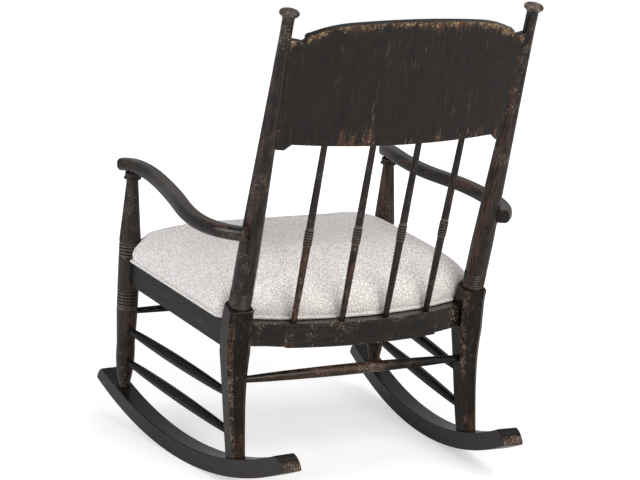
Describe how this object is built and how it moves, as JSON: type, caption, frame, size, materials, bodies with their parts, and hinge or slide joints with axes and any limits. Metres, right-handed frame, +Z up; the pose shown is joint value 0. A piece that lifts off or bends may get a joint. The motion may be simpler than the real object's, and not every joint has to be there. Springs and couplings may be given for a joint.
{
  "type": "rocking chair",
  "caption": "Spindle-back rocking chair in rubbed near-black paint, with turned posts, a bowed crest panel, serpentine arms and a pale woven seat cushion.",
  "frame": {"origin": "on the floor, midway between the two points where the rockers touch it", "axes": "+Z up, -Y the way the sitter faces, +X to the sitter's left"},
  "size_m": [0.7284, 0.997, 1.0131],
  "materials": {
    "painted_wood": "satin",
    "raw_wood": "matte",
    "woven_cloth": "matte",
    "black_cloth": "matte",
    "steel": "satin"
  },
  "bodies": {
    "root": {"rocker_left": "painted_wood", "rocker_right": "painted_wood", "front_post_left": "painted_wood", "front_post_right": "painted_wood", "rear_leg_left": "painted_wood", "rear_leg_right": "painted_wood", "back_post_left": "painted_wood", "back_post_right": "painted_wood", "crest_panel": "painted_wood", "spindle_1": "painted_wood", "spindle_2": "painted_wood", "spindle_3": "painted_wood", "spindle_4": "painted_wood", "arm_left": "painted_wood", "arm_right": "painted_wood", "arm_dowel_left": "raw_wood", "arm_dowel_right": "raw_wood", "front_rail": "painted_wood", "rear_rail": "painted_wood", "side_rail_left": "painted_wood", "side_rail_right": "painted_wood", "side_stretcher_upper_left": "painted_wood", "side_stretcher_upper_right": "painted_wood", "side_stretcher_lower_left": "painted_wood", "side_stretcher_lower_right": "painted_wood", "front_stretcher": "painted_wood", "rear_stretcher": "painted_wood", "corner_block_front_left": "raw_wood", "corner_block_front_right": "raw_wood", "corner_block_rear_left": "raw_wood", "corner_block_rear_right": "raw_wood", "seat_board": "raw_wood", "seat_cushion": "woven_cloth", "seat_welt_front": "woven_cloth", "seat_welt_rear": "woven_cloth", "seat_welt_side_left": "woven_cloth", "seat_welt_side_right": "woven_cloth", "dust_cover": "black_cloth", "seat_screw_front_left": "steel", "seat_screw_front_right": "steel", "seat_screw_rear_left": "steel", "seat_screw_rear_right": "steel"}
  },
  "joints": []
}
